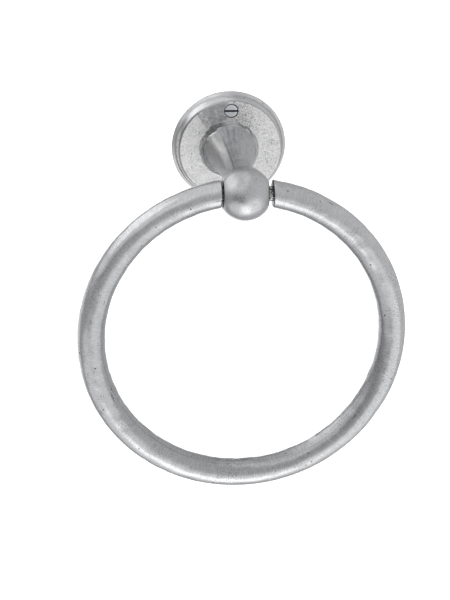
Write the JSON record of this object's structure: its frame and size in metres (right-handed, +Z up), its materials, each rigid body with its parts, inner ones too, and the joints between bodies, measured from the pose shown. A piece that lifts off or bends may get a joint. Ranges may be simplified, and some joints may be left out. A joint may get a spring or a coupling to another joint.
{
  "type": "towel ring",
  "caption": "Cast metal towel ring: a round stepped wall rose with a flared neck and a ball end, and an open round-bar ring that swings on a cross pin through the ball.",
  "frame": {"origin": "centre of the rose's back face, on the wall", "axes": "+Y into the wall, +Z up, the bracket stands out towards -Y and the pivot pin lies along X"},
  "size_m": [0.165, 0.1023, 0.186],
  "materials": {
    "bracket_casting": "satin, sand-cast pewter",
    "ring_casting": "satin, linished cast pewter",
    "pin_metal": "turned, dull",
    "screw_metal": "bright zinc plate"
  },
  "bodies": {
    "bracket": {"wall_bracket": "bracket_casting", "fixing_screws": "screw_metal"},
    "ring": {"ring": "ring_casting", "pivot_pin": "pin_metal"}
  },
  "joints": [
    {"name": "ring_swing", "type": "hinge", "parent": "bracket", "child": "ring", "pos_m": [0, -0.07, 0], "axis": [-1, 0, 0], "range_deg": [-24, 204]}
  ]
}
